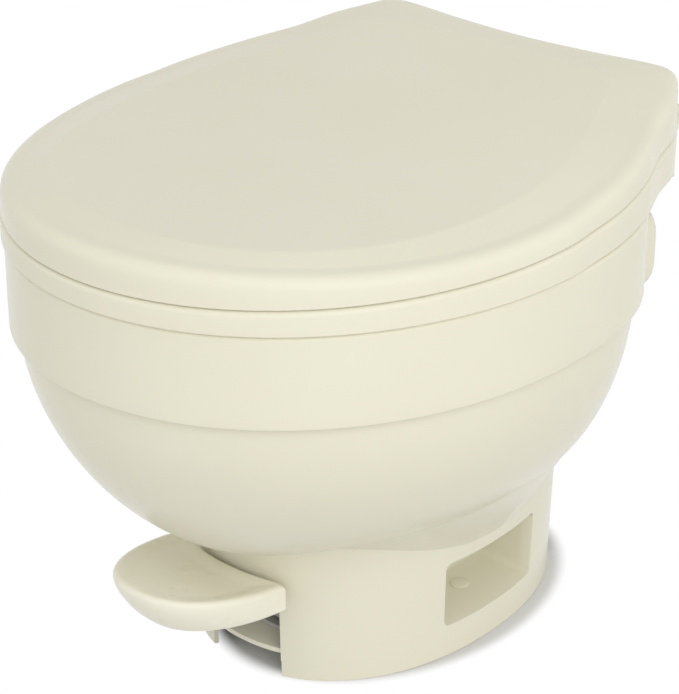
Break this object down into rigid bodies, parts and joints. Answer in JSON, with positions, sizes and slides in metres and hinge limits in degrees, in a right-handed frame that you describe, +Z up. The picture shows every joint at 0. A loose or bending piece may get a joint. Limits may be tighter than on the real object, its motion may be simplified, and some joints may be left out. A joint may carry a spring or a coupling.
{
  "type": "rv toilet",
  "caption": "Low-profile RV toilet with a closed lid, oval pedestal and a foot pedal that turns a half-ball waste valve and opens the rinse water.",
  "frame": {"origin": "on the floor, under the middle of the overall width and depth", "axes": "+Z up, front of the bowl towards -Y, right side from the front at +X"},
  "size_m": [0.4006, 0.4756, 0.3881],
  "materials": {
    "cream_plastic": "gloss, cream",
    "white_plastic": "satin, white",
    "grey_plastic": "satin, mid grey",
    "black_rubber": "matte, black",
    "stainless_steel": "bright",
    "brass": "satin"
  },
  "bodies": {
    "base": {"pedestal": "cream_plastic", "bowl_shell": "cream_plastic", "basin": "cream_plastic", "valve_chamber": "grey_plastic", "outlet_seal": "black_rubber", "flange_screw_1": "stainless_steel", "flange_screw_2": "stainless_steel", "flange_screw_3": "stainless_steel", "floor_seal": "black_rubber", "bolt_plug_left": "cream_plastic", "bolt_plug_right": "cream_plastic", "pedal_bracket": "grey_plastic", "bracket_screw_1": "stainless_steel", "bracket_screw_2": "stainless_steel", "shaft_bush_front": "white_plastic", "shaft_bush_rear": "white_plastic", "rack_guide": "grey_plastic", "guide_screw_1": "stainless_steel", "guide_screw_2": "stainless_steel", "hinge_bracket_left": "cream_plastic", "hinge_bracket_right": "cream_plastic", "hinge_bolt_left": "stainless_steel", "hinge_bolt_right": "stainless_steel", "hinge_pin_left": "stainless_steel", "hinge_pin_right": "stainless_steel", "water_valve": "grey_plastic", "valve_bracket": "grey_plastic", "inlet_fitting": "brass", "inlet_filter": "stainless_steel", "fill_hose": "black_rubber", "vacuum_breaker": "grey_plastic", "breaker_cap": "white_plastic", "rinse_nozzle": "white_plastic", "return_spring": "stainless_steel"},
    "foot_pedal": {"pedal": "cream_plastic", "pedal_arm": "grey_plastic", "pedal_shaft": "stainless_steel", "shaft_clip_left": "stainless_steel", "shaft_clip_right": "stainless_steel", "pedal_screw_1": "stainless_steel", "pedal_screw_2": "stainless_steel"},
    "rack": {"drive_rack": "white_plastic"},
    "ball": {"waste_ball": "white_plastic", "drive_shaft": "stainless_steel", "drive_pinion": "grey_plastic", "rear_shaft": "stainless_steel", "valve_cam": "white_plastic"},
    "plunger": {"valve_plunger": "stainless_steel"},
    "seat_ring": {"seat": "cream_plastic", "seat_bumper_1_left": "black_rubber", "seat_bumper_1_right": "black_rubber", "seat_bumper_2_left": "black_rubber", "seat_bumper_2_right": "black_rubber"},
    "lid_cover": {"lid": "cream_plastic", "lid_bumper_1_left": "black_rubber", "lid_bumper_1_right": "black_rubber"}
  },
  "joints": [
    {"name": "pedal_press", "type": "hinge", "parent": "base", "child": "foot_pedal", "pos_m": [0, -0.06469, 0.03785], "axis": [1, 0, 0], "range_deg": [0, 20], "stiffness_Nm_per_rad": 4, "springref_deg": -11.46},
    {"name": "rack_lift", "type": "slide", "parent": "base", "child": "rack", "axis": [0, 0, 1], "range_m": [0, 0.01571], "deforming": ["return_spring"]},
    {"name": "ball_turn", "type": "hinge", "parent": "base", "child": "ball", "pos_m": [0, 0.05135, 0.06], "axis": [0, -1, 0], "range_deg": [0, 90]},
    {"name": "plunger_push", "type": "slide", "parent": "base", "child": "plunger", "axis": [-1, 0, 0], "range_m": [0, 0.004]},
    {"name": "seat_hinge", "type": "hinge", "parent": "base", "child": "seat_ring", "pos_m": [0, 0.22795, 0.35], "axis": [-1, 0, 0], "range_deg": [0, 93]},
    {"name": "lid_hinge", "type": "hinge", "parent": "seat_ring", "child": "lid_cover", "pos_m": [0, 0.22795, 0.35], "axis": [-1, 0, 0], "range_deg": [0, 93]}
  ],
  "couplings": [
    {"joint": "rack_lift", "follows": "pedal_press", "m_per_rad": 0.045},
    {"joint": "ball_turn", "follows": "pedal_press", "ratio": 4.5},
    {"joint": "plunger_push", "follows": "pedal_press", "m_per_rad": 0.011459}
  ]
}
